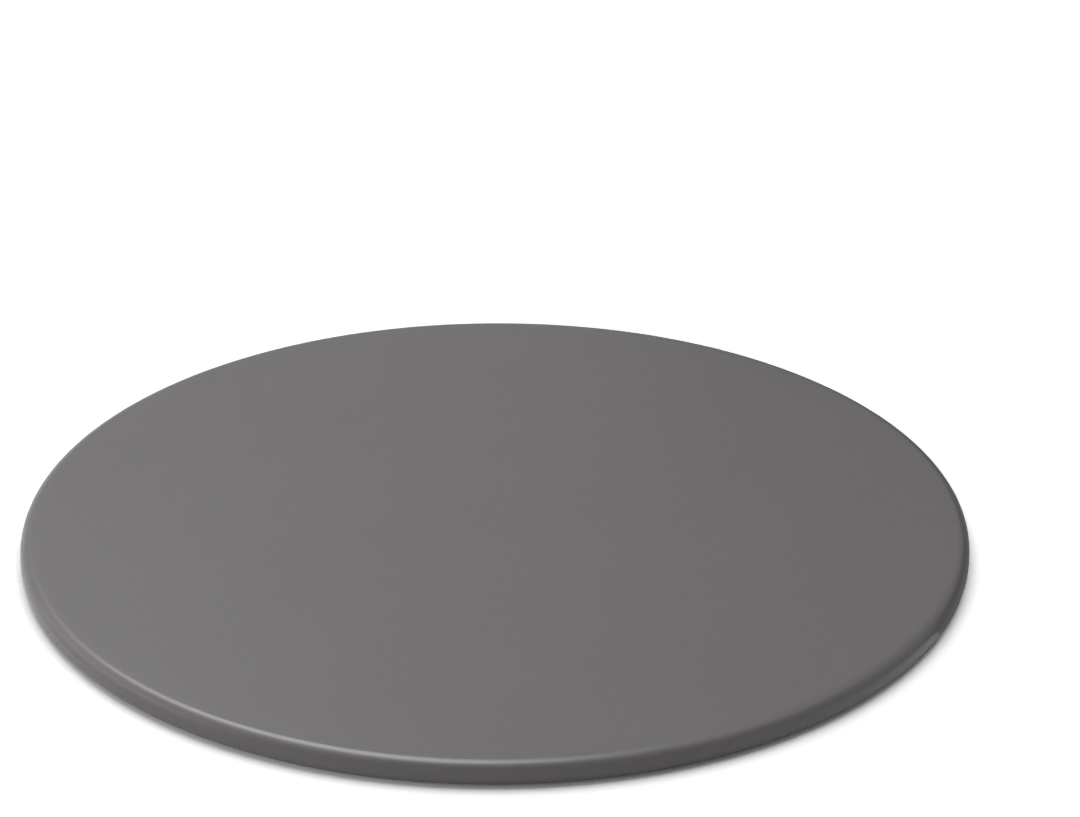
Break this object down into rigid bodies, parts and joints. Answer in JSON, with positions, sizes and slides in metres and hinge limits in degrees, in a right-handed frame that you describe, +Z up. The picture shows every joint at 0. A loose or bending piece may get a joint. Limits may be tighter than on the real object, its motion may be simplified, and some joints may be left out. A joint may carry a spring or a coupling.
{
  "type": "pizza stone",
  "caption": "Round flat baking stone of glazed ceramic, with a softly rounded rim and a bare underside on low moulded feet.",
  "frame": {"origin": "on the surface that the stone stands on, below the middle of the disc", "axes": "+Z up, square to the baking face; +X and +Y each point between two vents, over the middle of a row of feet"},
  "size_m": [0.3599, 0.36, 0.0105],
  "materials": {
    "bare_ceramic": "matte",
    "grey_glaze": "satin"
  },
  "bodies": {
    "root": {"ceramic_body": "bare_ceramic", "glaze_coat": "grey_glaze"}
  },
  "joints": []
}
